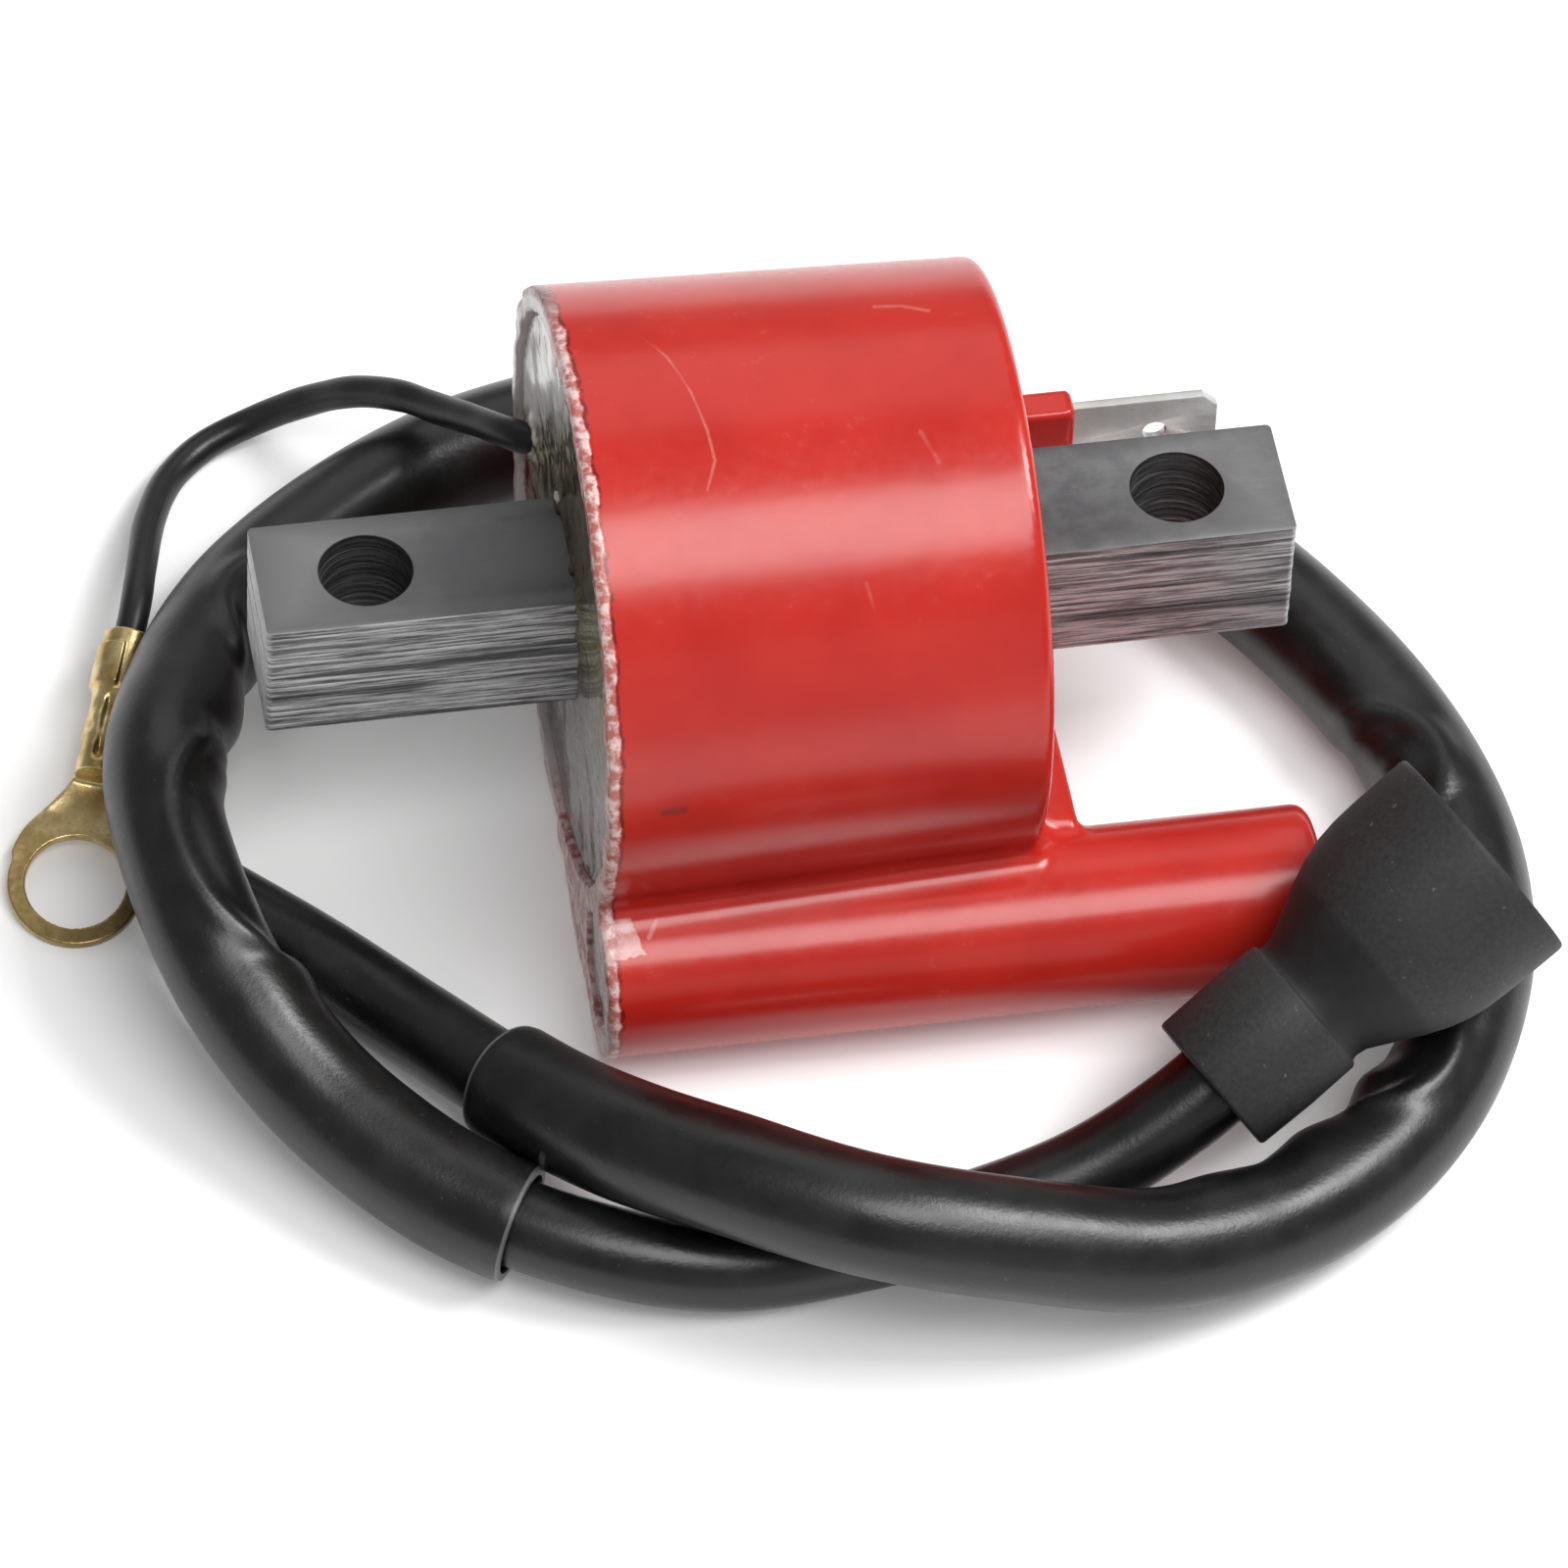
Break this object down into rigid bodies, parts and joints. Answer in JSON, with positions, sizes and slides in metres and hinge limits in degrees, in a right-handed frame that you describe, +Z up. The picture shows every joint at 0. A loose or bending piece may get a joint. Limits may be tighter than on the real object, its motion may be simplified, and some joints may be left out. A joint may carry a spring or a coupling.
{
  "type": "ignition coil",
  "caption": "Small-engine ignition coil: round red case on a laminated steel core, with a lead tower, spade tab, ground wire and sleeved high-voltage lead with a boot.",
  "frame": {"origin": "on the surface the coil lies on, under the middle of the coil without its leads", "axes": "+X along the laminated core towards the spade tab, +Y away from the lead tower, +Z up"},
  "size_m": [0.1171, 0.0941, 0.0484],
  "materials": {
    "red_plastic": "satin moulded thermoplastic",
    "resin": "poured potting resin, glossy",
    "core_steel": "punched electrical steel, dull grey",
    "tinned_steel": "tinned steel",
    "brass": "plain brass, slightly tarnished",
    "copper": "enamelled copper wire",
    "rubber": "matt black rubber",
    "vinyl": "soft black vinyl, satin",
    "nylon": "natural nylon",
    "paper": "insulating paper"
  },
  "bodies": {
    "root": {"coil_case": "red_plastic", "core_insulator": "paper", "core_sheet_01": "core_steel", "core_sheet_02": "core_steel", "core_sheet_03": "core_steel", "core_sheet_04": "core_steel", "core_sheet_05": "core_steel", "core_sheet_06": "core_steel", "core_sheet_07": "core_steel", "core_sheet_08": "core_steel", "core_sheet_09": "core_steel", "core_sheet_10": "core_steel", "core_sheet_11": "core_steel", "core_sheet_12": "core_steel", "core_sheet_13": "core_steel", "core_sheet_14": "core_steel", "core_sheet_15": "core_steel", "core_sheet_16": "core_steel", "ground_splice": "brass", "ground_wire": "vinyl", "ground_wire_conductor": "copper", "high_voltage_link": "copper", "ht_lead": "rubber", "ht_lead_conductor": "copper", "ht_sleeve": "vinyl", "lead_terminal": "brass", "potting_resin": "resin", "primary_bobbin": "nylon", "primary_finish_wire": "copper", "primary_start_wire": "copper", "primary_winding": "copper", "ring_terminal": "brass", "secondary_bobbin": "nylon", "secondary_winding_1": "copper", "secondary_winding_2": "copper", "secondary_winding_3": "copper", "secondary_winding_4": "copper", "secondary_winding_5": "copper", "spade_terminal": "tinned_steel", "tower_contact": "brass", "tower_potting": "resin", "winding_paper": "paper"},
    "boot": {"rubber_boot": "rubber"}
  },
  "joints": [
    {"name": "boot_slide", "type": "slide", "parent": "root", "child": "boot", "axis": [0.8177, 0.4162, 0.3978], "range_m": [0, 0.007]}
  ]
}
